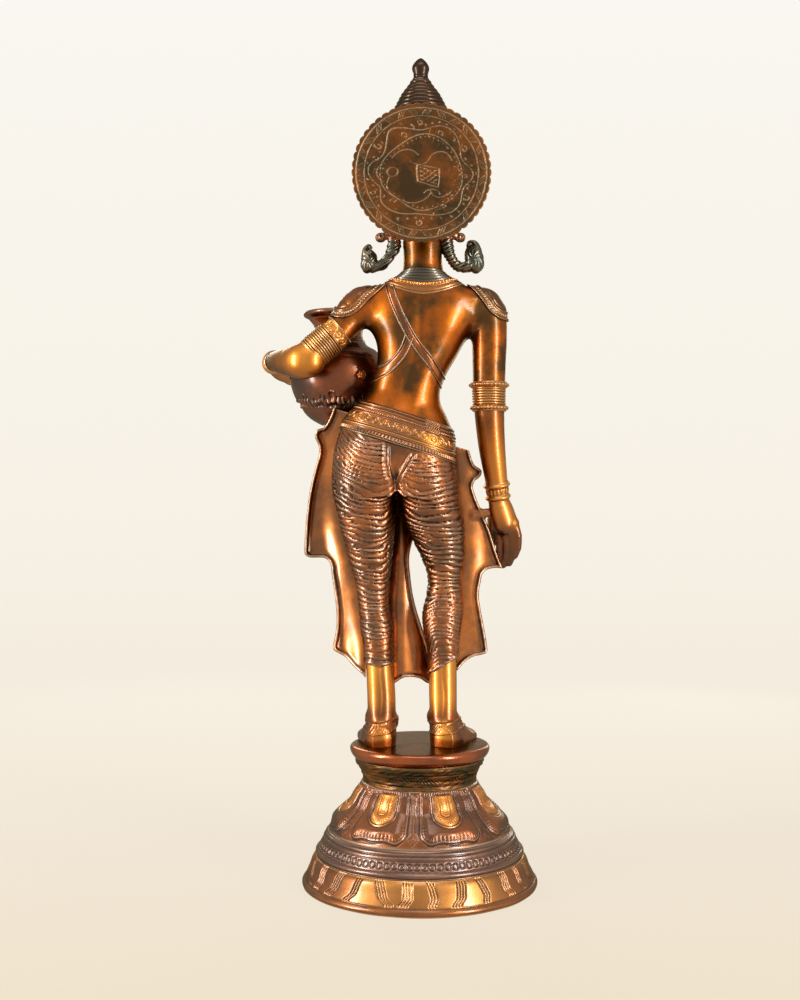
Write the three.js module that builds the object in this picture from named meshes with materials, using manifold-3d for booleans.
// A standing lady carrying a water pot on her hip, cast in brass sections on a turned lotus pedestal.
// Millimetres, +Z up. The figure faces -Y, her left hand is towards +X, and the floor is Z = 0.
import * as THREE from 'three';
import { mergeVertices } from 'three/addons/utils/BufferGeometryUtils.js';
import Module from 'manifold-3d';

const wasm = await Module();
wasm.setup();

// Pedestal
const SEAT_GAP = 0.3;            // clearance left between two castings that touch
const BASE_RADIUS = 107.6;       // foot of the bell
const BASE_NECK_RADIUS = 52.9;   // narrowest part, under the standing plate
const BASE_HEIGHT = 116.7;       // floor to the flat top of the bell
const FOOT_RING_HEIGHT = 50.5;   // the foot ring ends at the groove under the petals
const BASE_WALL = 4.5;
const BASE_TOP_THICKNESS = 6;
const BASE_SEGMENTS = 30;
const PLATE_RADIUS = 64;
const PLATE_THICKNESS = 12;
const PLATE_EDGE_ROUND = 3.5;

// Fixings under the feet
const STUD_RADIUS = 4;
const STUD_CLEARANCE = 0.5;
const STUD_IN_FOOT = 16;
const STUD_BELOW_TOP = 18;
const WASHER_RADIUS = 9;
const WASHER_THICKNESS = 1.6;
const NUT_RADIUS = 7.5;
const NUT_THICKNESS = 6.5;

// Joints between the cast sections
const SPIGOT_RADIUS = 8;
const SPIGOT_LENGTH = 12;
const NECK_SPIGOT_RADIUS = 9;
const WAIST_SPIGOT_RADIUS = 14;
const ARM_SPIGOT_RADIUS = 5;
const ARM_SPIGOT_LENGTH = 7;
const FINIAL_TENON_RADIUS = 3;
const FINIAL_TENON_LENGTH = 7;

// Heights above the standing plate
const HEM_HEIGHT = 72;           // lower edge of the draped trousers
const CROTCH_HEIGHT = 231;
const WAIST_HEIGHT = 341;        // narrowest part of the trunk
const NECK_JOINT_HEIGHT = 431;
const CHIN_ABOVE_NECK_JOINT = 36;
const CHIN_HEIGHT = NECK_JOINT_HEIGHT + CHIN_ABOVE_NECK_JOINT;
const BELT_HEIGHT = 290;         // middle of the belt on its own tilted plane
const BELT_CENTRE_X = 20;
const BELT_TILT = 17.5;          // degrees, lower on the figure's right
const BELT_WIDTH = 31;
const BELT_THICKNESS = 3.2;

// Ornaments
const SASH_WIDTH = 8.5;
const SASH_THICKNESS = 2;
const COLLAR_THICKNESS = 2.6;
const DRAPE_THICKNESS = 2.4;
const ARMLET_THICKNESS = 3.2;
const LEFT_ARMLET_LENGTH = 37;
const RIGHT_ARMLET_LENGTH = 27;
const BANGLE_THICKNESS = 2.2;
const LEFT_BANGLE_LENGTH = 10;
const RIGHT_BANGLE_LENGTH = 17;
const EARRING_STRAND_RADIUS = 4.2;
const CLOTH_THICKNESS = 5.5;
const CLOTH_FOLD = 3;             // swing of the fold across a wing of cloth
const CLOTH_COLUMNS = 6;

// Pot
const POT_CENTRE = [77, -49];
const POT_FOOT_HEIGHT = 297;     // underside of the pot above the plate
const POT_HEIGHT = 109;
const POT_BELLY_RADIUS = 47.2;
const POT_BELLY_LEVEL = 48;      // widest level above the pot's underside
const POT_NECK_RADIUS = 22.5;
const POT_NECK_LEVEL = 86;
const POT_RIM_RADIUS = 31;
const POT_FOOT_RADIUS = 17;
const POT_WALL = 3.6;
const POT_KNOB_RADIUS = 4.2;

// Head, crown and halo
const HEAD_X = -1;
const HEAD_Y = 3;
const CROWN_ABOVE_CHIN = 74;
const CROWN_HEIGHT = 71;
const CROWN_RADIUS = 36.5;
const CROWN_TIERS = 10;
const CROWN_TOP_RADIUS = 8;
const FINIAL_HEIGHT = 21;
const FINIAL_RADIUS = 8.2;
const HALO_RADIUS = 62.3;
const HALO_THICKNESS = 4;
const HALO_BACK_Y = 52;
const HALO_ABOVE_CHIN = 48.7;    // centre of the disc
const HALO_SCALLOPS = 36;
const HALO_SCALLOP_DEPTH = 1.2;
const HALO_STUD_RADIUS = 6;
const HALO_STUD_IN_HEAD = 8;
const BACK_OF_HEAD_Y = 40;

// Sides of the round sections
const TRUNK_SIDES = 18;
const LEG_SIDES = 16;
const LIMB_SIDES = 12;
const SMALL_SIDES = 8;
const PIN_SIDES = 12;
const FAR = 240;                 // further than any part of the figure, for cutting blocks

const CROWN_BASE_HEIGHT = CHIN_HEIGHT + CROWN_ABOVE_CHIN;
const HALO_HEIGHT = CHIN_HEIGHT + HALO_ABOVE_CHIN;
const PLATE_TOP = BASE_HEIGHT + SEAT_GAP + PLATE_THICKNESS;
const UNDER_TOP = BASE_HEIGHT - BASE_TOP_THICKNESS;

// Colours of the lacquered brass
const FINISHES = {
  brown: { color: 0x7a4a22, roughness: 0.32, metalness: 1 },
  gold: { color: 0xb07a2c, roughness: 0.28, metalness: 1 },
  dark: { color: 0x4a2e18, roughness: 0.42, metalness: 1 },
  disc: { color: 0x8a4f22, roughness: 0.45, metalness: 1 },
  steel: { color: 0x8f8f8c, roughness: 0.4, metalness: 1 },
};

// Solids

function geometryOf(points, faces) {
  const geometry = new THREE.BufferGeometry();
  geometry.setAttribute('position', new THREE.Float32BufferAttribute(points.flat(), 3));
  geometry.setIndex(faces.flat());
  return geometry;
}

function signedVolume(points, faces) {
  const a = new THREE.Vector3();
  const b = new THREE.Vector3();
  const c = new THREE.Vector3();
  let volume = 0;
  for (const [i, j, k] of faces) {
    a.fromArray(points[i]);
    b.fromArray(points[j]);
    c.fromArray(points[k]);
    volume += a.dot(b.cross(c)) / 6;
  }
  return volume;
}

function closedSolid(points, faces) {
  const outward = signedVolume(points, faces) > 0 ? faces : faces.map(([i, j, k]) => [i, k, j]);
  return solidOf(geometryOf(points, outward));
}

function solidOf(geometry) {
  const bare = geometry.clone();
  bare.deleteAttribute('normal');
  bare.deleteAttribute('uv');
  const merged = mergeVertices(bare, 1e-4);
  const vertProperties = new Float32Array(merged.attributes.position.array);
  const triVerts = new Uint32Array(merged.index.array);
  return new wasm.Manifold(new wasm.Mesh({ numProp: 3, vertProperties, triVerts }));
}

// A stack of rings with the same number of points, closed by a fan at each end.
function ringStack(rings) {
  const sides = rings[0].length;
  const points = rings.flat();
  const faces = [];
  for (let r = 0; r + 1 < rings.length; r += 1) {
    for (let s = 0; s < sides; s += 1) {
      const next = (s + 1) % sides;
      const a = r * sides + s;
      const b = r * sides + next;
      const c = (r + 1) * sides + next;
      const d = (r + 1) * sides + s;
      faces.push([a, b, c], [a, c, d]);
    }
  }
  const middleOf = (ring) => [0, 1, 2].map((k) => ring.reduce((sum, p) => sum + p[k], 0) / sides);
  const first = points.push(middleOf(rings[0])) - 1;
  const last = points.push(middleOf(rings[rings.length - 1])) - 1;
  const lastStart = (rings.length - 1) * sides;
  for (let s = 0; s < sides; s += 1) {
    const next = (s + 1) % sides;
    faces.push([first, next, s], [last, lastStart + s, lastStart + next]);
  }
  return closedSolid(points, faces);
}

function roundedTurn(angle, power) {
  const c = Math.cos(angle);
  const s = Math.sin(angle);
  return [Math.sign(c) * Math.abs(c) ** (2 / power), Math.sign(s) * Math.abs(s) ** (2 / power)];
}

// How far the first and last sections move outwards when a form is grown.
function endShift(i, count, grow) {
  if (i === 0) return -grow;
  return i === count - 1 ? grow : 0;
}

// Level sections: [height, centre x, half width, centre y, half depth].
function levelLoft(sections, grow = 0, sides = TRUNK_SIDES, power = 2.2) {
  return ringStack(sections.map(([height, x, halfWidth, y, halfDepth], i) => {
    const level = height + endShift(i, sections.length, grow);
    const ring = [];
    for (let s = 0; s < sides; s += 1) {
      const [u, v] = roundedTurn((s / sides) * 2 * Math.PI, power);
      ring.push([x + (halfWidth + grow) * u, y + (halfDepth + grow) * v, level]);
    }
    return ring;
  }));
}

// Sections square to a path: [x, y, height, half across, half deep].
function limb(stations, reference, grow = 0, sides = LIMB_SIDES) {
  const path = stations.map(([x, y, z]) => new THREE.Vector3(x, y, z));
  const up = new THREE.Vector3(...reference);
  return ringStack(stations.map(([, , , halfAcross, halfDeep], i) => {
    const before = path[Math.max(i - 1, 0)];
    const after = path[Math.min(i + 1, path.length - 1)];
    const along = after.clone().sub(before).normalize();
    const deep = up.clone().addScaledVector(along, -up.dot(along)).normalize();
    const across = new THREE.Vector3().crossVectors(along, deep);
    const ring = [];
    for (let s = 0; s < sides; s += 1) {
      const angle = (s / sides) * 2 * Math.PI;
      const point = path[i].clone().addScaledVector(along, endShift(i, path.length, grow));
      point.addScaledVector(across, (halfAcross + grow) * Math.cos(angle));
      point.addScaledVector(deep, (halfDeep + grow) * Math.sin(angle));
      ring.push(point.toArray());
    }
    return ring;
  }));
}

function placed(geometry, position = [0, 0, 0], rotation = [0, 0, 0], scale = [1, 1, 1]) {
  const turn = new THREE.Quaternion().setFromEuler(new THREE.Euler(...rotation));
  const matrix = new THREE.Matrix4();
  matrix.compose(new THREE.Vector3(...position), turn, new THREE.Vector3(...scale));
  return solidOf(geometry.clone().applyMatrix4(matrix));
}

function box(lowest, highest) {
  const size = highest.map((value, k) => value - lowest[k]);
  const centre = highest.map((value, k) => (value + lowest[k]) / 2);
  return placed(new THREE.BoxGeometry(...size), centre);
}

function ball(centre, radii, across = 12, down = 8) {
  const [rx, ry, rz] = radii;
  return placed(new THREE.SphereGeometry(1, across, down), centre, [Math.PI / 2, 0, 0], [rx, rz, ry]);
}

function upright(radius, bottom, top, x, y, sides = 16) {
  const rod = new THREE.CylinderGeometry(radius, radius, top - bottom, sides);
  return placed(rod, [x, y, (top + bottom) / 2], [Math.PI / 2, 0, 0]);
}

function turned(profile, segments, x = 0, y = 0, z = 0) {
  const outline = profile.map(([radius, height]) => new THREE.Vector2(radius, height));
  return placed(new THREE.LatheGeometry(outline, segments), [x, y, z], [Math.PI / 2, 0, 0]);
}

// An outline in the XZ plane made into a prism from y = front to y = back.
function prism(outline, front, back) {
  const shape = new THREE.Shape(outline.map(([x, z]) => new THREE.Vector2(x, z)));
  const slab = new THREE.ExtrudeGeometry(shape, { depth: back - front, bevelEnabled: false });
  return placed(slab, [0, back, 0], [Math.PI / 2, 0, 0]);
}

// A curved sheet: each row is [height, inner x, outer x, inner y, outer y].
function clothSheet(rows, columns, thickness, fold) {
  const points = [];
  const index = (side, r, c) => (side * rows.length + r) * columns + c;
  for (const side of [-0.5, 0.5]) {
    for (const [height, innerX, outerX, innerY, outerY] of rows) {
      for (let c = 0; c < columns; c += 1) {
        const u = c / (columns - 1);
        const wave = fold * Math.sin(u * Math.PI * 2) * u;
        const x = innerX + (outerX - innerX) * u;
        points.push([x, innerY + (outerY - innerY) * u + wave + side * thickness, height]);
      }
    }
  }
  const faces = [];
  const quad = (a, b, c, d) => faces.push([a, b, c], [a, c, d]);
  for (let r = 0; r + 1 < rows.length; r += 1) {
    for (let c = 0; c + 1 < columns; c += 1) {
      quad(index(0, r, c), index(0, r, c + 1), index(0, r + 1, c + 1), index(0, r + 1, c));
      quad(index(1, r, c), index(1, r + 1, c), index(1, r + 1, c + 1), index(1, r, c + 1));
    }
    const last = columns - 1;
    quad(index(0, r, 0), index(0, r + 1, 0), index(1, r + 1, 0), index(1, r, 0));
    quad(index(0, r, last), index(1, r, last), index(1, r + 1, last), index(0, r + 1, last));
  }
  const end = rows.length - 1;
  for (let c = 0; c + 1 < columns; c += 1) {
    quad(index(0, 0, c), index(1, 0, c), index(1, 0, c + 1), index(0, 0, c + 1));
    quad(index(0, end, c), index(0, end, c + 1), index(1, end, c + 1), index(1, end, c));
  }
  return closedSolid(points, faces);
}

// The modelled figure

// Shares of the way from the crotch to the waist, and from the hem to the crotch, as heights.
const hipHeight = (share) => CROTCH_HEIGHT + (WAIST_HEIGHT - CROTCH_HEIGHT) * share;
const thighHeight = (share) => HEM_HEIGHT + (CROTCH_HEIGHT - HEM_HEIGHT) * share;

// Trunk from the crotch to the neck.
const TRUNK = [
  [hipHeight(-0.07), 21.5, 55.5, 4, 37],
  [hipHeight(0.1091), 22.8, 56.2, 5, 41],
  [hipHeight(0.2636), 24, 55.3, 6, 42.5],
  [hipHeight(0.3727), 22.8, 55, 6, 41],
  [hipHeight(0.5), 21.5, 52.5, 5, 37],
  [hipHeight(0.6545), 21.2, 45.5, 4, 31.5],
  [hipHeight(0.7545), 18, 37.5, 3, 28],
  [hipHeight(0.8545), 14, 33, 2, 26],
  [WAIST_HEIGHT, 8.5, 33.3, 1.5, 27],
  [355, 3, 36, 1, 29],
  [372, -1, 41.5, 1, 31],
  [386, -2.5, 50, 2, 31],
  [402, -3, 58, 3, 28.5],
  [413, -3, 56, 5, 24],
  [422, -3, 41, 7, 20],
  [NECK_JOINT_HEIGHT, -3, 21.5, 8, 18.5],
];

const LEFT_LEG = [
  [HEM_HEIGHT, 37.6, 13.4, 2, 14.8],
  [thighHeight(0.1006), 38, 14, 1.5, 16],
  [thighHeight(0.2327), 39.7, 15.2, 0, 17.5],
  [thighHeight(0.3522), 42.2, 14.4, -3, 17],
  [thighHeight(0.4717), 43.4, 15.8, -3, 18.5],
  [thighHeight(0.5849), 44.7, 18.9, -2, 22.5],
  [thighHeight(0.7107), 46.6, 22.7, -1, 26.5],
  [thighHeight(0.8302), 48.7, 26.1, 1, 30],
  [CROTCH_HEIGHT, 50.1, 28.2, 4, 35],
  [thighHeight(1.1321), 50, 28.4, 5, 37],
];

const RIGHT_LEG = [
  [HEM_HEIGHT, -21.8, 14.4, 2, 15],
  [thighHeight(0.1132), -21.7, 14.8, 2, 16],
  [thighHeight(0.2013), -20.9, 17.2, 1, 18],
  [thighHeight(0.3082), -21.2, 18.4, -1, 18],
  [thighHeight(0.4088), -22.7, 16.2, -3, 17],
  [thighHeight(0.5157), -22.5, 15, -3, 18],
  [thighHeight(0.6352), -21.2, 20.2, -2, 23],
  [thighHeight(0.7107), -18.4, 23.5, -1, 26],
  [thighHeight(0.8302), -13.4, 27.3, 1, 30],
  [thighHeight(0.9623), -7.2, 27.4, 4, 35],
  [thighHeight(1.1321), -4, 28, 5, 37],
];

// Shin, ankle and the top of the foot.
const LEFT_SHIN = [
  [5, 35, 12.6, 9, 14.5],
  [16, 34.6, 13.4, 8, 14.5],
  [30, 35, 13.4, 5, 13.4],
  [46, 35.4, 13, 3.5, 13],
  [HEM_HEIGHT - SEAT_GAP, 36.8, 12.2, 2, 12.4],
];

const RIGHT_SHIN = [
  [5, -22, 12.4, 9, 14.5],
  [16, -22, 13, 8, 14.5],
  [30, -21.8, 12.8, 5, 13.2],
  [46, -21.6, 12.8, 3.5, 13],
  [HEM_HEIGHT - SEAT_GAP, -21.6, 12.8, 2, 12.6],
];

// Where each sole's heel and toe stand, and its sections: [share of its length, half width, height].
const LEFT_SOLE = { heel: [34.5, 25], toe: [45, -44] };
const RIGHT_SOLE = { heel: [-22, 25], toe: [-43, -40] };
const SOLE_SECTIONS = [
  [0, 9, 15],
  [0.14, 13.5, 22],
  [0.34, 14.5, 24],
  [0.56, 15.5, 17],
  [0.78, 17, 11],
  [0.93, 14.5, 8],
  [1, 8.5, 5.5],
];

const RIGHT_ARM = [
  [-50, 4, 407, 14, 14],
  [-61, 4, 403, 17.2, 17],
  [-64.3, 3, 385, 16.4, 16.5],
  [-64.5, 2, 350, 15.2, 15.5],
  [-64.5, 0, 321, 14.6, 14.8],
  [-65.4, -1, 298, 13.4, 13.6],
  [-68, -4, 270, 12, 12.4],
  [-71.9, -8, 243, 10.2, 10.6],
  [-74, -11, 226, 9.4, 9.8],
  [-77, -12, 212, 10.4, 12.4],
];

const RIGHT_PALM = [
  [-74, -11, 232, 9.2, 9.6],
  [-77.5, -12, 214, 10.2, 12.4],
  [-83.5, -13, 196, 10.6, 14],
  [-87, -14.5, 180, 9, 12.6],
  [-84.5, -16, 164, 5.5, 8],
];

const RIGHT_THUMB = [
  [-76, -17, 210, 5, 5],
  [-73.5, -23, 194, 4.8, 4.8],
  [-75.5, -25, 178, 3.6, 3.6],
];

const LEFT_UPPER_ARM = [
  [44, 4, 408, 14, 14],
  [53, 4, 404, 17.5, 17],
  [63, 5, 394, 15.4, 15.5],
  [73, 8, 381.5, 13.7, 14],
  [87, 10.5, 369, 13.6, 13.8],
  [101, 12, 357.5, 14.2, 14.2],
  [108, 12, 352, 14.4, 14.6],
];

const LEFT_FOREARM = [
  [98, 18, 351, 13.4, 13.8],
  [107, 12, 352, 15.4, 15.6],
  [118.5, -3, 353.5, 13.8, 14.4],
  [129.5, -21, 355.5, 11.4, 11.8],
  [137, -37, 357, 9.4, 9.8],
  [140, -48, 357, 8.8, 9.2],
  [139.5, -59, 356, 7.6, 10],
];

const LEFT_PALM = [
  [139.8, -47, 357, 8.4, 9],
  [137.5, -61, 356, 7.4, 11],
  [128.5, -77, 354.5, 6.4, 14.5],
  [114, -92, 353.5, 5.8, 14],
  [98, -100.5, 353, 5.2, 13],
  [83, -102.6, 353, 4.2, 10.5],
];

// A share of the way from the chin to the crown's seat, as a height.
const headHeight = (share) => CHIN_HEIGHT + CROWN_ABOVE_CHIN * share;

const HEAD = [
  [NECK_JOINT_HEIGHT + SEAT_GAP, -3, 18, 8, 17.5],
  [CHIN_HEIGHT - CHIN_ABOVE_NECK_JOINT * 0.53, -3, 17.4, 7, 17],
  [CHIN_HEIGHT - CHIN_ABOVE_NECK_JOINT * 0.2, -2, 17.8, 5.5, 19],
  [CHIN_HEIGHT, HEAD_X, 19, 1.5, 26],
  [headHeight(0.0946), HEAD_X, 23.5, 1, 31],
  [headHeight(0.2568), HEAD_X, 28, 2, 34.5],
  [headHeight(0.473), HEAD_X, 31, 3, 36.5],
  [headHeight(0.7162), HEAD_X, 32, 3.5, 37.5],
  [headHeight(0.9324), HEAD_X, 31, 3.5, 37],
  [headHeight(1.1216), HEAD_X, 26, 3.5, 32],
  [headHeight(1.2568), HEAD_X, 17, 3.5, 22],
];

const NOSE = [
  [HEAD_X, -31.5, headHeight(0.6757), 2.6, 2.5],
  [HEAD_X, -35.5, headHeight(0.5405), 3.4, 4],
  [HEAD_X, -38.5, headHeight(0.3919), 5.6, 4.5],
  [HEAD_X, -33, headHeight(0.3378), 5, 3.5],
];

const DEPTH_REFERENCE = [0, 1, 0];
const HEIGHT_REFERENCE = [0, 0, 1];

const trunkForm = (grow) => levelLoft(TRUNK, grow, TRUNK_SIDES, 2.3);
const leftUpperArmForm = (grow) => limb(LEFT_UPPER_ARM, DEPTH_REFERENCE, grow);
const rightArmForm = (grow) => limb(RIGHT_ARM, DEPTH_REFERENCE, grow);
const legForm = (sections, grow) => levelLoft(sections, grow, LEG_SIDES);

const BREAST_RADII = [18.5, 17, 18];
const BREAST_SPREAD = 21.5;
const BREASTBONE = [-3, -24, 390];

function breastForm(side, grow) {
  const [x, y, z] = BREASTBONE;
  return ball([x + side * BREAST_SPREAD, y, z], BREAST_RADII.map((radius) => radius + grow), 10, 8);
}

function figureForm(grow) {
  return trunkForm(grow)
    .add(breastForm(1, grow))
    .add(breastForm(-1, grow))
    .add(leftUpperArmForm(grow))
    .add(rightArmForm(grow));
}

// The slab of the tilted belt, or the half of space above or below its middle plane.
function beltSlab(low, high) {
  const slab = new THREE.BoxGeometry(FAR, FAR, high - low);
  const tilt = THREE.MathUtils.degToRad(-BELT_TILT);
  slab.translate(0, 0, (high + low) / 2);
  return placed(slab, [BELT_CENTRE_X, 0, BELT_HEIGHT], [0, tilt, 0]);
}

// Rings, straps and shells that hug the figure.

const SLEEVE_REACH = 26;

function sleeve(stations, reference, fromPoint, axis, length, thickness) {
  const outer = limb(stations, reference, SEAT_GAP + thickness);
  const inner = limb(stations, reference, SEAT_GAP);
  const middle = new THREE.Vector3(...fromPoint);
  const direction = new THREE.Vector3(...axis).normalize();
  const turn = new THREE.Quaternion().setFromUnitVectors(new THREE.Vector3(0, 1, 0), direction);
  const drum = new THREE.CylinderGeometry(SLEEVE_REACH, SLEEVE_REACH, length, PIN_SIDES);
  drum.applyQuaternion(turn);
  drum.translate(middle.x, middle.y, middle.z);
  return outer.intersect(solidOf(drum)).subtract(inner);
}

function sashBand(from, to, width, thickness) {
  const [x0, z0] = from;
  const [x1, z1] = to;
  const length = Math.hypot(x1 - x0, z1 - z0);
  const angle = Math.atan2(z1 - z0, x1 - x0);
  const strip = placed(new THREE.BoxGeometry(length + SASH_WIDTH, FAR, width),
    [(x0 + x1) / 2, 0, (z0 + z1) / 2], [0, -angle, 0]);
  return trunkSkin(thickness).intersect(strip);
}

function trunkSkin(thickness) {
  const bust = (grow) => trunkForm(grow).add(breastForm(1, grow)).add(breastForm(-1, grow));
  return bust(SEAT_GAP + thickness).subtract(bust(SEAT_GAP));
}

const COLLAR_CENTRE = [-3, 2, 437];
const COLLAR_RADII = [43, 39, 27];
const LEFT_DRAPE_OUTLINE = [
  [30, 446], [31, 429], [48, 413], [59, 401], [71, 395], [84, 400], [84, 446],
];
const RIGHT_DRAPE_OUTLINE = [
  [-36, 446], [-38, 428], [-54, 414], [-65, 400], [-74, 393], [-90, 392], [-90, 446],
];

function collarBlank(grow) {
  return ball(COLLAR_CENTRE, COLLAR_RADII.map((radius) => radius + grow), 16, 10);
}

function drapeShell(outline) {
  return figureForm(SEAT_GAP + DRAPE_THICKNESS)
    .subtract(figureForm(SEAT_GAP))
    .intersect(prism(outline, -FAR / 2, FAR / 2))
    .subtract(collarBlank(SEAT_GAP));
}

// Pot, turned about its own upright axis and left hollow.
function potProfile(grow) {
  return [
    [0, -grow],
    [POT_FOOT_RADIUS + grow, -grow],
    [POT_FOOT_RADIUS + 9 + grow, 5],
    [POT_BELLY_RADIUS - 8 + grow, 21],
    [POT_BELLY_RADIUS - 1.6 + grow, POT_BELLY_LEVEL - 13],
    [POT_BELLY_RADIUS + grow, POT_BELLY_LEVEL],
    [POT_BELLY_RADIUS - 2.6 + grow, POT_BELLY_LEVEL + 12],
    [POT_BELLY_RADIUS - 9.5 + grow, POT_BELLY_LEVEL + 22],
    [POT_NECK_RADIUS + 3.5 + grow, POT_NECK_LEVEL - 8],
    [POT_NECK_RADIUS + grow, POT_NECK_LEVEL],
    [POT_NECK_RADIUS + 1.2 + grow, POT_NECK_LEVEL + 8],
    [POT_RIM_RADIUS - 3 + grow, POT_HEIGHT - 6],
    [POT_RIM_RADIUS + grow, POT_HEIGHT - 1.8],
    [POT_RIM_RADIUS + grow, POT_HEIGHT + grow],
  ];
}

const POT_SEGMENTS = 22;

function potForm(grow) {
  const profile = [...potProfile(grow), [0, POT_HEIGHT + grow]];
  return turned(profile, POT_SEGMENTS, POT_CENTRE[0], POT_CENTRE[1], POT_FOOT_HEIGHT);
}

function makePot() {
  const outside = potProfile(0);
  const lip = POT_WALL * 0.6;
  const inside = [
    [POT_RIM_RADIUS - lip, POT_HEIGHT],
    [POT_NECK_RADIUS + 1.2 - POT_WALL, POT_NECK_LEVEL + 6],
    [POT_NECK_RADIUS - POT_WALL, POT_NECK_LEVEL - 2],
    [POT_NECK_RADIUS + 3.5 - POT_WALL, POT_NECK_LEVEL - 11],
    [POT_BELLY_RADIUS - 9.5 - POT_WALL, POT_BELLY_LEVEL + 19],
    [POT_BELLY_RADIUS - POT_WALL, POT_BELLY_LEVEL],
    [POT_BELLY_RADIUS - 8 - POT_WALL, 23],
    [POT_FOOT_RADIUS + 6 - POT_WALL, POT_WALL + 3],
    [0, POT_WALL],
  ];
  return turned([...outside, ...inside], POT_SEGMENTS, POT_CENTRE[0], POT_CENTRE[1], POT_FOOT_HEIGHT);
}

const POT_KNOB_AT = [54.5, -5, 341.5];

function makePotKnob() {
  const centre = new THREE.Vector3(...POT_KNOB_AT);
  const axis = new THREE.Vector3(POT_CENTRE[0], POT_CENTRE[1], POT_KNOB_AT[2]);
  const inward = axis.sub(centre).normalize();
  const foot = centre.clone().addScaledVector(inward, POT_KNOB_RADIUS + 4);
  const stem = limb([
    [...centre.toArray(), POT_KNOB_RADIUS * 0.6, POT_KNOB_RADIUS * 0.6],
    [...foot.toArray(), POT_KNOB_RADIUS * 0.9, POT_KNOB_RADIUS * 0.9],
  ], HEIGHT_REFERENCE, 0, SMALL_SIDES);
  const round = [POT_KNOB_RADIUS, POT_KNOB_RADIUS, POT_KNOB_RADIUS];
  return ball(POT_KNOB_AT, round, 10, 8).add(stem).subtract(potForm(SEAT_GAP));
}

// Legs and feet

function soleForm(sole) {
  const [heelX, heelY] = sole.heel;
  const [toeX, toeY] = sole.toe;
  const length = Math.hypot(toeX - heelX, toeY - heelY);
  const along = [(toeX - heelX) / length, (toeY - heelY) / length];
  const square = [-along[1], along[0]];
  const sides = 14;
  return ringStack(SOLE_SECTIONS.map(([share, halfWidth, height]) => {
    const ring = [];
    for (let s = 0; s < sides; s += 1) {
      const angle = (s / sides) * 2 * Math.PI;
      const side = halfWidth * Math.cos(angle);
      const lift = Math.max(0, height * (0.32 + 0.68 * Math.sin(angle)));
      const x = heelX + (toeX - heelX) * share + square[0] * side;
      const y = heelY + (toeY - heelY) * share + square[1] * side;
      ring.push([x, y, SEAT_GAP + lift]);
    }
    return ring;
  }));
}

const STUD_BEFORE_HEEL = 16;
const studPlace = (sole) => [sole.heel[0], sole.heel[1] - STUD_BEFORE_HEEL];
const SPIGOT_ROOT = 4;           // how far a spigot is sunk into the casting that carries it

function makeFoot(shin, sole) {
  const [x, y] = studPlace(sole);
  const hole = upright(STUD_RADIUS + STUD_CLEARANCE, -1, STUD_IN_FOOT + STUD_CLEARANCE, x, y);
  const top = shin[shin.length - 1];
  const spigot = upright(SPIGOT_RADIUS, top[0] - SPIGOT_ROOT, top[0] + SPIGOT_LENGTH, top[1], top[3]);
  return levelLoft(shin, 0, LEG_SIDES).add(soleForm(sole)).add(spigot).subtract(hole);
}

function legSocket(shin) {
  const top = shin[shin.length - 1];
  const radius = SPIGOT_RADIUS + SEAT_GAP;
  return upright(radius, top[0] - SPIGOT_ROOT, top[0] + SPIGOT_LENGTH + SEAT_GAP, top[1], top[3]);
}

const hipSpigotPlace = (leg) => leg.at(-2);

function makeLeg(leg, shin) {
  const [, x, , y] = hipSpigotPlace(leg);
  const top = CROTCH_HEIGHT - SEAT_GAP;
  const below = box([-FAR, -FAR, 0], [FAR, FAR, top]);
  const spigot = upright(SPIGOT_RADIUS, top - SPIGOT_ROOT, top + SPIGOT_LENGTH, x, y);
  return legForm(leg, 0).intersect(below).add(spigot).subtract(legSocket(shin));
}

// The thighs press together just below the crotch, so each is cut back to one shared plane.
const THIGH_PLANE_X = 20.8;

function splitLegs() {
  const half = SEAT_GAP / 2;
  const leftSide = box([THIGH_PLANE_X + half, -FAR, 0], [FAR, FAR, FAR * 2]);
  const rightSide = box([-FAR, -FAR, 0], [THIGH_PLANE_X - half, FAR, FAR * 2]);
  return [
    makeLeg(LEFT_LEG, LEFT_SHIN).intersect(leftSide),
    makeLeg(RIGHT_LEG, RIGHT_SHIN).intersect(rightSide),
  ];
}

function makeHips() {
  const low = box([-FAR, -FAR, CROTCH_HEIGHT], [FAR, FAR, FAR * 2]);
  const body = trunkForm(0).add(legForm(LEFT_LEG, 0)).add(legForm(RIGHT_LEG, 0)).intersect(low);
  let hips = body.subtract(beltSlab(0, FAR * 2));
  for (const leg of [LEFT_LEG, RIGHT_LEG]) {
    const [, x, , y] = hipSpigotPlace(leg);
    const top = CROTCH_HEIGHT + SPIGOT_LENGTH + SEAT_GAP;
    hips = hips.subtract(upright(SPIGOT_RADIUS + SEAT_GAP, CROTCH_HEIGHT - SPIGOT_ROOT, top, x, y));
  }
  return hips.subtract(waistSpigot(SEAT_GAP));
}

const WAIST_SPIGOT_Y = 3;

function waistSpigot(grow) {
  const tilt = THREE.MathUtils.degToRad(-BELT_TILT);
  const radius = WAIST_SPIGOT_RADIUS + grow;
  const rod = new THREE.CylinderGeometry(radius, radius, 2 * (SPIGOT_LENGTH + grow), TRUNK_SIDES);
  rod.rotateX(Math.PI / 2);
  return placed(rod, [BELT_CENTRE_X, WAIST_SPIGOT_Y, BELT_HEIGHT], [0, tilt, 0]);
}

// Trunk and arms

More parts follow.
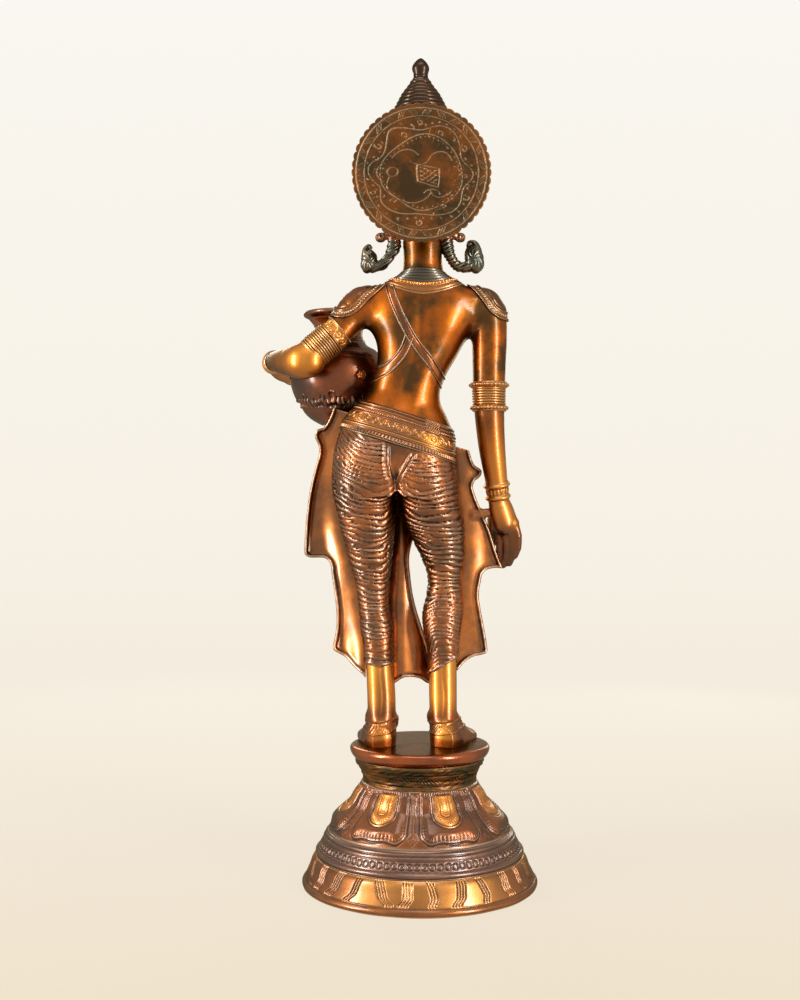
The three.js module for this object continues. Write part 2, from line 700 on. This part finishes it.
const SHOULDER_CUT_LEFT = 51;
const SHOULDER_CUT_RIGHT = -52;
const ABOVE_SHOULDERS = 460;
const LEFT_ARMPIT = [48.5, 381];
const RIGHT_ARMPIT = [-46.8, 377];
const LEFT_ARM_LOWEST = 332;
const LEFT_ARM_JOINT = [93.5, 11.2, 363.5];
const LEFT_ARM_AXIS = [14, 1.5, -11.5];
const RIGHT_ARMLET_MIDDLE = [-64.5, 0.8, 320.5];
const RIGHT_ARM_AXIS = [0, 0, 1];
const RIGHT_BANGLE_MIDDLE = [-73.2, -10, 233.5];
const RIGHT_BANGLE_AXIS = [-2.6, -3, -17];
const RIGHT_ELBOW = [-64.5, 0, 320];
const RIGHT_WRIST = [-73.2, -10, 233];
const SHOULDER_SPIGOT_Y = 4;
const SHOULDER_SPIGOT_HEIGHT = 399;
const NECK_X = -3;
const NECK_Y = 8;
const NECK_RADIUS = 18.5;

function shoulderSpigot(side, grow) {
  const x = side > 0 ? SHOULDER_CUT_LEFT : SHOULDER_CUT_RIGHT;
  const radius = SPIGOT_RADIUS + grow;
  const rod = new THREE.CylinderGeometry(radius, radius, 2 * (SPIGOT_LENGTH + grow), PIN_SIDES);
  rod.rotateZ(Math.PI / 2);
  return placed(rod, [x, SHOULDER_SPIGOT_Y, SHOULDER_SPIGOT_HEIGHT]);
}

function neckSpigot(grow) {
  const from = NECK_JOINT_HEIGHT - SPIGOT_LENGTH - grow;
  return upright(NECK_SPIGOT_RADIUS + grow, from, NECK_JOINT_HEIGHT + SPIGOT_ROOT, NECK_X, NECK_Y);
}

// The space of an arm: everything beyond the shoulder cut and the armpit.
function leftArmSpace(gap) {
  const [armpitX, armpitZ] = LEFT_ARMPIT;
  return prism([
    [SHOULDER_CUT_LEFT + gap, ABOVE_SHOULDERS],
    [SHOULDER_CUT_LEFT + gap, armpitZ + 4],
    [armpitX + gap, armpitZ],
    [armpitX + gap, LEFT_ARM_LOWEST],
    [FAR, LEFT_ARM_LOWEST],
    [FAR, ABOVE_SHOULDERS],
  ], -FAR / 2, FAR / 2);
}

function rightArmSpace(gap) {
  const [armpitX, armpitZ] = RIGHT_ARMPIT;
  return prism([
    [SHOULDER_CUT_RIGHT - gap, ABOVE_SHOULDERS],
    [SHOULDER_CUT_RIGHT - gap, armpitZ + 14],
    [armpitX - gap, armpitZ],
    [armpitX + 2, 0],
    [-FAR, 0],
    [-FAR, ABOVE_SHOULDERS],
  ], -FAR / 2, FAR / 2);
}

function makeTorso() {
  return figureForm(0)
    .subtract(leftArmSpace(0))
    .subtract(rightArmSpace(0))
    .subtract(beltSlab(-FAR * 2, SEAT_GAP))
    .add(waistSpigot(0))
    .subtract(shoulderSpigot(1, SEAT_GAP))
    .subtract(shoulderSpigot(-1, SEAT_GAP))
    .subtract(neckSpigot(SEAT_GAP));
}

// The half of space beyond a joint, measured along an arm.
function beyond(point, axis, gap) {
  const direction = new THREE.Vector3(...axis).normalize();
  const turn = new THREE.Quaternion().setFromUnitVectors(new THREE.Vector3(0, 0, 1), direction);
  const block = new THREE.BoxGeometry(FAR, FAR, FAR);
  block.translate(0, 0, FAR / 2 + gap);
  block.applyQuaternion(turn);
  block.translate(...point);
  return solidOf(block);
}

// A round pin through a joint, or with the seat gap as grow the hole it fits.
function armPin(point, axis, grow) {
  const direction = new THREE.Vector3(...axis).normalize();
  const turn = new THREE.Quaternion().setFromUnitVectors(new THREE.Vector3(0, 1, 0), direction);
  const radius = ARM_SPIGOT_RADIUS + grow;
  const rod = new THREE.CylinderGeometry(radius, radius, 2 * (ARM_SPIGOT_LENGTH + grow), PIN_SIDES);
  rod.applyQuaternion(turn);
  rod.translate(...point);
  return solidOf(rod);
}

function makeRightUpperArm() {
  return figureForm(0)
    .intersect(rightArmSpace(SEAT_GAP))
    .intersect(box([-FAR, -FAR, RIGHT_ELBOW[2] + SEAT_GAP], [FAR, FAR, FAR * 2]))
    .add(shoulderSpigot(-1, 0))
    .add(armPin(RIGHT_ELBOW, RIGHT_ARM_AXIS, 0));
}

function makeRightForearm() {
  return rightArmForm(0)
    .intersect(box([-FAR, -FAR, RIGHT_WRIST[2] + SEAT_GAP], [FAR, FAR, RIGHT_ELBOW[2]]))
    .subtract(armPin(RIGHT_ELBOW, RIGHT_ARM_AXIS, SEAT_GAP))
    .add(armPin(RIGHT_WRIST, RIGHT_ARM_AXIS, 0));
}

function rightHandForm(grow) {
  return limb(RIGHT_PALM, DEPTH_REFERENCE, grow)
    .add(limb(RIGHT_THUMB, DEPTH_REFERENCE, grow, SMALL_SIDES));
}

function makeRightHand() {
  return rightHandForm(0)
    .intersect(box([-FAR, -FAR, 0], [FAR, FAR, RIGHT_WRIST[2]]))
    .subtract(armPin(RIGHT_WRIST, RIGHT_ARM_AXIS, SEAT_GAP));
}

const LEFT_WRIST = [139.9, -47.5, 357];
const LEFT_WRIST_AXIS = [0.5, -11, -0.2];
const LEFT_ARMLET_MIDDLE = [86.5, 10.4, 369.5];
const LEFT_BANGLE_MIDDLE = [139.2, -44.5, 357];

function makeLeftUpperArm() {
  return figureForm(0)
    .intersect(leftArmSpace(SEAT_GAP))
    .subtract(beyond(LEFT_ARM_JOINT, LEFT_ARM_AXIS, -SEAT_GAP))
    .add(shoulderSpigot(1, 0))
    .add(armPin(LEFT_ARM_JOINT, LEFT_ARM_AXIS, 0));
}

function leftForearmForm(grow) {
  return leftUpperArmForm(grow).add(limb(LEFT_FOREARM, HEIGHT_REFERENCE, grow));
}

function makeLeftForearm() {
  return leftForearmForm(0)
    .intersect(beyond(LEFT_ARM_JOINT, LEFT_ARM_AXIS, 0))
    .subtract(beyond(LEFT_WRIST, LEFT_WRIST_AXIS, -SEAT_GAP))
    .subtract(armPin(LEFT_ARM_JOINT, LEFT_ARM_AXIS, SEAT_GAP))
    .add(armPin(LEFT_WRIST, LEFT_WRIST_AXIS, 0))
    .subtract(potForm(SEAT_GAP));
}

function makeLeftHand() {
  return limb(LEFT_PALM, HEIGHT_REFERENCE)
    .intersect(beyond(LEFT_WRIST, LEFT_WRIST_AXIS, 0))
    .subtract(armPin(LEFT_WRIST, LEFT_WRIST_AXIS, SEAT_GAP))
    .subtract(potForm(SEAT_GAP));
}

// Cloth

const LEFT_WING_ROWS = [
  [66.5, 38, 54, -6, -8],
  [75.7, 38, 69, -6, -12],
  [80.4, 38, 78.5, -6, -13],
  [86, 39, 82.2, -6, -14],
  [97.4, 39, 80.4, -7, -15],
  [114.4, 40, 77.5, -8, -15],
  [130.5, 42, 78.5, -9, -16],
  [154, 44, 82.3, -10, -18],
  [166.3, 45, 84.2, -11, -19],
  [169.6, 45, 88.9, -11, -20],
  [170.5, 45, 104.9, -11, -22],
  [174.8, 46, 108.7, -12, -23],
  [181.4, 46, 107.7, -12, -23],
  [224.8, 48, 102, -15, -22],
  [267, 48, 95.5, -18, -20],
  [273.8, 48, 92.6, -18, -19],
  [280.5, 46, 96.4, -18, -19],
  [287, 46, 97.3, -17, -19],
  [290.8, 46, 87, -16, -18],
  [302.2, 46, 79.4, -14, -17],
  [314.4, 46, 70, -12, -15],
];

const RIGHT_WING_ROWS = [
  [72, -22, -40.4, -6, -9],
  [76.7, -22, -47.9, -6, -11],
  [80.5, -22, -61.1, -6, -13],
  [82.3, -22, -63.5, -6, -13],
  [97.4, -22, -61.2, -7, -14],
  [114.4, -22, -58.3, -8, -14],
  [130.5, -22, -56.9, -9, -15],
  [144.6, -22, -57.4, -10, -16],
  [155.9, -22, -59.3, -10, -17],
  [160.6, -22, -66.8, -11, -18],
  [164.4, -20, -80, -12, -20],
  [175.7, -18, -74.4, -12, -19],
  [189.9, -16, -66.8, -13, -18],
  [214.4, -12, -57.4, -14, -16],
  [234.2, -8, -50.8, -16, -15],
  [243.7, -8, -48.9, -17, -15],
  [249.3, -8, -51.7, -17, -15],
  [258.8, -8, -53.6, -16, -15],
  [264.4, -8, -48.9, -15, -14],
  [272, -8, -46, -14, -13],
  [280.5, -8, -38, -12, -12],
];

const CENTRE_FALL_ROWS = [
  [thighHeight(-0.1006), 36, -20, -6, -6],
  [thighHeight(-0.0377), 37, -20, -7, -7],
  [thighHeight(0.1761), 38, -18, -10, -10],
  [thighHeight(0.2956), 38, -15, -12, -12],
  [thighHeight(0.3264), 38, 3.4, -13, -13],
  [thighHeight(0.4057), 38, 5.6, -15, -15],
  [thighHeight(0.5094), 38, 7.9, -18, -18],
  [thighHeight(0.6289), 38, 9.2, -21, -21],
  [thighHeight(0.7044), 38, 6.8, -24, -24],
  [thighHeight(0.7421), 38, 1, -26, -26],
  [thighHeight(0.8302), 37, 2, -30, -30],
  [thighHeight(0.9623), 37, 3, -36, -36],
  [hipHeight(0.1364), 36, 5, -41.5, -41.5],
  [hipHeight(0.2818), 35, 7, -42, -42],
  [hipHeight(0.4091), 34, 9, -40, -40],
];

// The small cast bridge that ties the right hand to the cloth.
const HAND_BRIDGE = [
  [-54, -16, 212, 5, 4],
  [-72, -14, 214, 4.4, 4],
];

function legsForm(grow) {
  return legForm(LEFT_LEG, grow).add(legForm(RIGHT_LEG, grow));
}

function clearOfFigure(cloth) {
  const shins = levelLoft(LEFT_SHIN, SEAT_GAP, LEG_SIDES)
    .add(levelLoft(RIGHT_SHIN, SEAT_GAP, LEG_SIDES));
  return cloth
    .subtract(legsForm(SEAT_GAP))
    .subtract(trunkForm(SEAT_GAP))
    .subtract(shins)
    .subtract(beltRing(SEAT_GAP));
}

function beltRing(grow) {
  return trunkForm(SEAT_GAP + BELT_THICKNESS + grow)
    .intersect(beltSlab(-BELT_WIDTH / 2 - grow, BELT_WIDTH / 2 + grow));
}

function makeBelt() {
  const hipsForm = trunkForm(SEAT_GAP).add(legForm(LEFT_LEG, SEAT_GAP)).add(legForm(RIGHT_LEG, SEAT_GAP));
  return beltRing(0).subtract(hipsForm);
}

const wingSheet = (rows, thickness) => clothSheet(rows, CLOTH_COLUMNS, thickness, CLOTH_FOLD);

function makeLeftWing() {
  return clearOfFigure(wingSheet(LEFT_WING_ROWS, CLOTH_THICKNESS)).subtract(potForm(SEAT_GAP));
}

function makeRightWing() {
  const cloth = wingSheet(RIGHT_WING_ROWS, CLOTH_THICKNESS)
    .add(limb(HAND_BRIDGE, DEPTH_REFERENCE, 0, SMALL_SIDES));
  return clearOfFigure(cloth).subtract(rightHandForm(SEAT_GAP));
}

function makeCentreFall() {
  const clear = CLOTH_THICKNESS + 2 * SEAT_GAP;
  const wings = wingSheet(RIGHT_WING_ROWS, clear).add(wingSheet(LEFT_WING_ROWS, clear));
  return clearOfFigure(clothSheet(CENTRE_FALL_ROWS, 4, CLOTH_THICKNESS, 0)).subtract(wings);
}

// Head, crown and halo

function headForm(grow) {
  return levelLoft(HEAD, grow, LEG_SIDES, 2.1).add(limb(NOSE, DEPTH_REFERENCE, grow, SMALL_SIDES));
}

function crownProfile() {
  const profile = [[0, 0], [CROWN_RADIUS, 0]];
  for (let tier = 0; tier < CROWN_TIERS; tier += 1) {
    const low = tier / CROWN_TIERS;
    const high = (tier + 1) / CROWN_TIERS;
    const radiusAt = (share) => CROWN_TOP_RADIUS + (CROWN_RADIUS - CROWN_TOP_RADIUS) * (1 - share ** 3);
    profile.push([radiusAt(low), CROWN_HEIGHT * (low + high) / 2]);
    profile.push([Math.max(radiusAt(high), CROWN_TOP_RADIUS), CROWN_HEIGHT * high]);
  }
  profile.push([0, CROWN_HEIGHT]);
  return profile;
}

function makeCrown() {
  const crown = turned(crownProfile(), TRUNK_SIDES, HEAD_X, HEAD_Y, CROWN_BASE_HEIGHT);
  const top = CROWN_BASE_HEIGHT + CROWN_HEIGHT;
  const radius = FINIAL_TENON_RADIUS + SEAT_GAP;
  const socket = upright(radius, top - FINIAL_TENON_LENGTH, top + 1, HEAD_X, HEAD_Y, PIN_SIDES);
  return crown.subtract(headForm(SEAT_GAP)).subtract(socket);
}

function makeFinial() {
  const foot = CROWN_BASE_HEIGHT + CROWN_HEIGHT + SEAT_GAP;
  const profile = [
    [0, -FINIAL_TENON_LENGTH],
    [FINIAL_TENON_RADIUS, -FINIAL_TENON_LENGTH],
    [FINIAL_TENON_RADIUS, 0],
    [FINIAL_RADIUS * 0.8, 0],
    [FINIAL_RADIUS * 0.8, FINIAL_HEIGHT * 0.14],
    [FINIAL_RADIUS, FINIAL_HEIGHT * 0.29],
    [FINIAL_RADIUS, FINIAL_HEIGHT * 0.43],
    [FINIAL_RADIUS * 0.75, FINIAL_HEIGHT * 0.6],
    [FINIAL_RADIUS * 0.32, FINIAL_HEIGHT * 0.74],
    [FINIAL_RADIUS * 0.27, FINIAL_HEIGHT * 0.88],
    [0, FINIAL_HEIGHT],
  ];
  return turned(profile, PIN_SIDES, HEAD_X, HEAD_Y, foot);
}

function makeHalo() {
  const shape = new THREE.Shape();
  for (let i = 0; i < HALO_SCALLOPS * 2; i += 1) {
    const angle = (i / (HALO_SCALLOPS * 2)) * 2 * Math.PI;
    const radius = i % 2 === 0 ? HALO_RADIUS : HALO_RADIUS - HALO_SCALLOP_DEPTH;
    const x = radius * Math.cos(angle);
    const z = radius * Math.sin(angle);
    if (i === 0) shape.moveTo(x, z);
    else shape.lineTo(x, z);
  }
  const disc = new THREE.ExtrudeGeometry(shape, { depth: HALO_THICKNESS, bevelEnabled: false });
  const front = HALO_BACK_Y - HALO_THICKNESS;
  const solid = placed(disc, [HEAD_X, HALO_BACK_Y, HALO_HEIGHT], [Math.PI / 2, 0, 0]);
  return solid.subtract(haloStud(SEAT_GAP, front + HALO_THICKNESS / 2));
}

function haloStud(grow, end) {
  const start = BACK_OF_HEAD_Y - HALO_STUD_IN_HEAD - grow;
  const radius = HALO_STUD_RADIUS + grow;
  const rod = new THREE.CylinderGeometry(radius, radius, end - start, PIN_SIDES);
  return placed(rod, [HEAD_X, (start + end) / 2, HALO_HEIGHT]);
}

function makeHaloStud() {
  return haloStud(0, HALO_BACK_Y - HALO_THICKNESS / 2 - SEAT_GAP);
}

function makeHead() {
  return headForm(0)
    .add(neckSpigot(0))
    .subtract(haloStud(SEAT_GAP, HALO_BACK_Y));
}

const EARRING_Y = 6;

function makeEarring(side, rootX, bud) {
  const along = [
    [rootX, EARRING_Y, CHIN_HEIGHT - 1, EARRING_STRAND_RADIUS, EARRING_STRAND_RADIUS],
    [rootX + side * 3, EARRING_Y, CHIN_HEIGHT - 18, EARRING_STRAND_RADIUS, EARRING_STRAND_RADIUS],
    [rootX + side * 11, EARRING_Y, CHIN_HEIGHT - 27.5, EARRING_STRAND_RADIUS, EARRING_STRAND_RADIUS],
    [bud.at[0], EARRING_Y, bud.at[2] - 5, EARRING_STRAND_RADIUS, EARRING_STRAND_RADIUS],
  ];
  const stud = limb([
    [rootX - side * 8, EARRING_Y, CHIN_HEIGHT - 5, 3.4, 3.4],
    [rootX + side * 7, EARRING_Y, CHIN_HEIGHT - 0.5, 3.8, 3.8],
  ], HEIGHT_REFERENCE, 0, SMALL_SIDES);
  const knob = ball([rootX + side * 9, EARRING_Y, CHIN_HEIGHT], [4.6, 4.6, 5.2], 10, 6);
  return limb(along, DEPTH_REFERENCE, 0, SMALL_SIDES)
    .add(ball(bud.at, bud.radii, 10, 8))
    .add(stud)
    .add(knob)
    .subtract(headForm(SEAT_GAP))
    .subtract(figureForm(SEAT_GAP + DRAPE_THICKNESS + SEAT_GAP))
    .subtract(collarBlank(SEAT_GAP).intersect(trunkForm(COLLAR_THICKNESS + 2 * SEAT_GAP)));
}

const LEFT_BUD = { at: [46.5, EARRING_Y, CHIN_HEIGHT - 23.5], radii: [7.4, 6.5, 12.5] };
const RIGHT_BUD = { at: [-50.5, EARRING_Y, CHIN_HEIGHT - 21], radii: [8.8, 7, 14] };

function makeCollar() {
  const neckHole = upright(
    NECK_RADIUS + SEAT_GAP, NECK_JOINT_HEIGHT - 6, NECK_JOINT_HEIGHT + 20, NECK_X, NECK_Y, 24);
  return trunkForm(SEAT_GAP + COLLAR_THICKNESS)
    .subtract(trunkForm(SEAT_GAP))
    .intersect(collarBlank(0))
    .subtract(neckHole)
    .subtract(headForm(SEAT_GAP));
}

// Long sash: over the left shoulder to the right side of the waist, back and front.
const SASH_SHOULDER = [31, 431];
const SASH_CROSSING = [8.8, 374];
const SASH_RIGHT_WAIST = [-24, 331];
const SASH_LEFT_WAIST = [50, 338];

function makeLongSash() {
  const upper = sashBand(SASH_SHOULDER, SASH_CROSSING, SASH_WIDTH, SASH_THICKNESS);
  const lower = sashBand(SASH_CROSSING, SASH_RIGHT_WAIST, SASH_WIDTH, SASH_THICKNESS);
  const joined = upper.add(lower).subtract(collarBlank(SEAT_GAP));
  const drapeSpace = prism(LEFT_DRAPE_OUTLINE, -FAR / 2, FAR / 2);
  return joined.subtract(drapeSpace);
}

function makeShortSash() {
  const besideCrossing = box([SASH_CROSSING[0] + SASH_WIDTH * 0.62, -FAR, 0], [FAR, FAR, FAR * 2]);
  return sashBand(SASH_CROSSING, SASH_LEFT_WAIST, SASH_WIDTH, SASH_THICKNESS)
    .intersect(besideCrossing)
    .subtract(sashBand(SASH_CROSSING, SASH_RIGHT_WAIST, SASH_WIDTH + 2 * SEAT_GAP, SASH_THICKNESS + 2));
}

// Pedestal

// Seven petals swell on the bell, with a groove between each two.
const PETAL_COUNT = 7;
const PETAL_TURN = -5;            // degrees from straight behind to the first groove
const PETAL_RISE = 3.2;

// The turned columns across one petal: [share of the way to the next groove, share taken of the middle's
// rise, share taken of the sides' rise].
const PETAL_COLUMNS = [
  [0, 0, 0],
  [0.07, 0, 0],
  [0.19, 0, 1],
  [0.5, 1, 0],
  [0.81, 0, 1],
  [0.93, 0, 0],
];

// The bell's outline: [share of the way from the neck out to the foot, share of the height, and on the
// petals the shares of their rise in the middle and at the sides].
const BELL = [
  [1, 0],
  [1, 0.0343],
  [0.9561, 0.0771],
  [0.8318, 0.2142],
  [0.7697, 0.2399],
  [0.777, 0.2656],
  [0.6527, 0.377],
  [0.6161, 0.4113],
  [0.5686, 0.4327],
  [0.5384, 0.4649],
  [0.5082, 0.497, 1.15, 0.45],
  [0.4059, 0.5484, 1.2, 1],
  [0.2706, 0.6084, 0.9, 0.9],
  [0.1773, 0.6598, 0.5, 0.5],
  [0.1188, 0.7198, 0.25, 0.25],
  [0.042, 0.7712],
  [0, 0.8141],
  [0.0055, 0.844],
];

// The rounded collar above the neck: [radius over the neck's, share of the height].
const BELL_COLLAR = [
  [4.7, 0.8869],
  [8.1, 0.934],
  [7.9, 0.9726],
  [5.1, 1],
];

const bellRadius = (share) => BASE_NECK_RADIUS + (BASE_RADIUS - BASE_NECK_RADIUS) * share;

function baseProfile() {
  const bell = BELL.map(([share, level, ...rises]) => [bellRadius(share), BASE_HEIGHT * level, ...rises]);
  const collar = BELL_COLLAR.map(([over, level]) => [BASE_NECK_RADIUS + over, BASE_HEIGHT * level]);
  return [...bell, ...collar];
}

// An outline turned in columns that follow the petals, which rise square to it.
function turnedPetals(outline) {
  return ringStack(outline.map(([radius, height, middle = 0, side = 0], i) => {
    const before = outline[Math.max(i - 1, 0)];
    const after = outline[Math.min(i + 1, outline.length - 1)];
    const run = Math.hypot(after[0] - before[0], after[1] - before[1]);
    const ring = [];
    for (let petal = 0; petal < PETAL_COUNT; petal += 1) {
      for (const [share, ofMiddle, ofSides] of PETAL_COLUMNS) {
        const angle = THREE.MathUtils.degToRad(90 + PETAL_TURN + ((petal + share) / PETAL_COUNT) * 360);
        const rise = PETAL_RISE * (middle * ofMiddle + side * ofSides);
        const reach = radius + (rise * (after[1] - before[1])) / run;
        const level = height + (rise * (before[0] - after[0])) / run;
        ring.push([reach * Math.cos(angle), reach * Math.sin(angle), level]);
      }
    }
    return ring;
  }));
}

function shellOutline() {
  const outer = baseProfile();
  const hollow = [
    [0.0037, 1 - BASE_TOP_THICKNESS / BASE_HEIGHT],
    [0, 0.7883],
    [0.1188, 0.6855],
    [0.4059, 0.5227],
    [0.5612, 0.4027],
    [0.7532, 0.2228],
    [0.9817, 0.0257],
    [1, 0],
  ];
  const inner = hollow.map(([share, level]) => [bellRadius(share) - BASE_WALL, BASE_HEIGHT * level]);
  return [...inner, ...outer];
}

function makeFootRing() {
  const outline = [[0, BASE_HEIGHT - BASE_TOP_THICKNESS], ...shellOutline(), [0, BASE_HEIGHT]];
  return turned(outline, BASE_SEGMENTS).intersect(box([-FAR, -FAR, -1], [FAR, FAR, FOOT_RING_HEIGHT]));
}

function makePetalBell() {
  let bell = turnedPetals(shellOutline());
  for (const sole of [LEFT_SOLE, RIGHT_SOLE]) {
    const [x, y] = studPlace(sole);
    bell = bell.subtract(upright(STUD_RADIUS + STUD_CLEARANCE, UNDER_TOP - 1, BASE_HEIGHT + 1, x, y));
  }
  return bell.intersect(box([-FAR, -FAR, FOOT_RING_HEIGHT + SEAT_GAP], [FAR, FAR, FAR]));
}

function makePlate() {
  const bottom = BASE_HEIGHT + SEAT_GAP;
  const profile = [
    [0, 0],
    [PLATE_RADIUS - 6, 0],
    [PLATE_RADIUS - 1.5, 1.5],
    [PLATE_RADIUS, 4.5],
    [PLATE_RADIUS, PLATE_THICKNESS - PLATE_EDGE_ROUND],
    [PLATE_RADIUS - PLATE_EDGE_ROUND * 0.3, PLATE_THICKNESS - PLATE_EDGE_ROUND * 0.3],
    [PLATE_RADIUS - PLATE_EDGE_ROUND, PLATE_THICKNESS],
    [0, PLATE_THICKNESS],
  ];
  let plate = turned(profile, BASE_SEGMENTS, 0, 0, bottom);
  for (const sole of [LEFT_SOLE, RIGHT_SOLE]) {
    const [x, y] = studPlace(sole);
    plate = plate.subtract(upright(STUD_RADIUS + STUD_CLEARANCE, bottom - 1, PLATE_TOP + 1, x, y));
  }
  return plate;
}

function makeStud(sole) {
  const [x, y] = studPlace(sole);
  return upright(STUD_RADIUS, UNDER_TOP - STUD_BELOW_TOP, PLATE_TOP + STUD_IN_FOOT, x, y);
}

function makeWasher(sole) {
  const [x, y] = studPlace(sole);
  const top = UNDER_TOP - SEAT_GAP;
  return upright(WASHER_RADIUS, top - WASHER_THICKNESS, top, x, y, 20)
    .subtract(upright(STUD_RADIUS + SEAT_GAP, top - WASHER_THICKNESS - 1, top + 1, x, y));
}

function makeNut(sole) {
  const [x, y] = studPlace(sole);
  const top = UNDER_TOP - 2 * SEAT_GAP - WASHER_THICKNESS;
  return upright(NUT_RADIUS, top - NUT_THICKNESS, top, x, y, 6)
    .subtract(upright(STUD_RADIUS + SEAT_GAP, top - NUT_THICKNESS - 1, top + 1, x, y));
}

// Scene graph

function addPiece(group, name, finish, solid) {
  const mesh = solid.getMesh();
  const geometry = new THREE.BufferGeometry();
  geometry.setAttribute('position', new THREE.Float32BufferAttribute(mesh.vertProperties, 3));
  geometry.setIndex(new THREE.Uint32BufferAttribute(mesh.triVerts, 1));
  geometry.computeVertexNormals();
  const piece = new THREE.Mesh(geometry, new THREE.MeshStandardMaterial(FINISHES[finish]));
  piece.name = name;
  group.add(piece);
}

const pedestal = new THREE.Group();
addPiece(pedestal, 'pedestal_foot', 'brown', makeFootRing());
addPiece(pedestal, 'lotus_base', 'brown', makePetalBell());
addPiece(pedestal, 'standing_plate', 'brown', makePlate());
for (const [side, sole] of [['left', LEFT_SOLE], ['right', RIGHT_SOLE]]) {
  addPiece(pedestal, `${side}_foot_stud`, 'steel', makeStud(sole));
  addPiece(pedestal, `${side}_foot_washer`, 'steel', makeWasher(sole));
  addPiece(pedestal, `${side}_foot_nut`, 'steel', makeNut(sole));
}

const figure = new THREE.Group();
figure.position.z = PLATE_TOP;
const [leftLeg, rightLeg] = splitLegs();
addPiece(figure, 'left_foot', 'gold', makeFoot(LEFT_SHIN, LEFT_SOLE));
addPiece(figure, 'right_foot', 'gold', makeFoot(RIGHT_SHIN, RIGHT_SOLE));
addPiece(figure, 'left_trouser_leg', 'brown', leftLeg);
addPiece(figure, 'right_trouser_leg', 'brown', rightLeg);
addPiece(figure, 'hips', 'brown', makeHips());
addPiece(figure, 'left_skirt_wing', 'brown', makeLeftWing());
addPiece(figure, 'right_skirt_wing', 'brown', makeRightWing());
addPiece(figure, 'centre_fall', 'brown', makeCentreFall());
addPiece(figure, 'hip_belt', 'gold', makeBelt());
addPiece(figure, 'torso', 'brown', makeTorso());
addPiece(figure, 'long_sash', 'brown', makeLongSash());
addPiece(figure, 'short_sash', 'brown', makeShortSash());
addPiece(figure, 'neck_collar', 'dark', makeCollar());
addPiece(figure, 'left_shoulder_drape', 'brown', drapeShell(LEFT_DRAPE_OUTLINE));
addPiece(figure, 'right_shoulder_drape', 'brown', drapeShell(RIGHT_DRAPE_OUTLINE));
addPiece(figure, 'right_upper_arm', 'brown', makeRightUpperArm());
addPiece(figure, 'right_armlet', 'gold',
  sleeve(RIGHT_ARM, DEPTH_REFERENCE, RIGHT_ARMLET_MIDDLE, RIGHT_ARM_AXIS,
    RIGHT_ARMLET_LENGTH, ARMLET_THICKNESS));
addPiece(figure, 'right_forearm', 'gold', makeRightForearm());
addPiece(figure, 'right_wrist_bangle', 'brown',
  sleeve(RIGHT_ARM, DEPTH_REFERENCE, RIGHT_BANGLE_MIDDLE, RIGHT_BANGLE_AXIS,
    RIGHT_BANGLE_LENGTH, BANGLE_THICKNESS)
    .subtract(rightHandForm(SEAT_GAP)));
addPiece(figure, 'right_hand', 'gold', makeRightHand());
addPiece(figure, 'left_upper_arm', 'brown', makeLeftUpperArm());
addPiece(figure, 'left_armlet', 'gold',
  sleeve(LEFT_UPPER_ARM, DEPTH_REFERENCE, LEFT_ARMLET_MIDDLE, LEFT_ARM_AXIS,
    LEFT_ARMLET_LENGTH, ARMLET_THICKNESS)
    .subtract(limb(LEFT_FOREARM, HEIGHT_REFERENCE, SEAT_GAP))
    .subtract(potForm(SEAT_GAP)));
addPiece(figure, 'left_forearm', 'gold', makeLeftForearm());
addPiece(figure, 'left_wrist_bangle', 'brown',
  sleeve(LEFT_FOREARM, HEIGHT_REFERENCE, LEFT_BANGLE_MIDDLE, LEFT_WRIST_AXIS,
    LEFT_BANGLE_LENGTH, BANGLE_THICKNESS)
    .subtract(limb(LEFT_PALM, HEIGHT_REFERENCE, SEAT_GAP))
    .subtract(potForm(SEAT_GAP)));
addPiece(figure, 'left_hand', 'gold', makeLeftHand());
addPiece(figure, 'pot', 'dark', makePot());
addPiece(figure, 'pot_knob', 'dark', makePotKnob());
addPiece(figure, 'head', 'brown', makeHead());
addPiece(figure, 'crown', 'dark', makeCrown());
addPiece(figure, 'crown_finial', 'dark', makeFinial());
addPiece(figure, 'halo_disc', 'disc', makeHalo());
addPiece(figure, 'halo_stud', 'dark', makeHaloStud());
addPiece(figure, 'left_earring', 'dark', makeEarring(1, 27, LEFT_BUD));
addPiece(figure, 'right_earring', 'dark', makeEarring(-1, -29, RIGHT_BUD));

// The frame's origin is under the middle of the whole statue, which reaches further to +X than to -X.
const statue = new THREE.Group();
statue.add(pedestal, figure);
statue.updateMatrixWorld(true);
const extent = new THREE.Box3().setFromObject(statue, true);
const centre = extent.getCenter(new THREE.Vector3());
statue.position.set(-centre.x, -centre.y, 0);

export default statue;
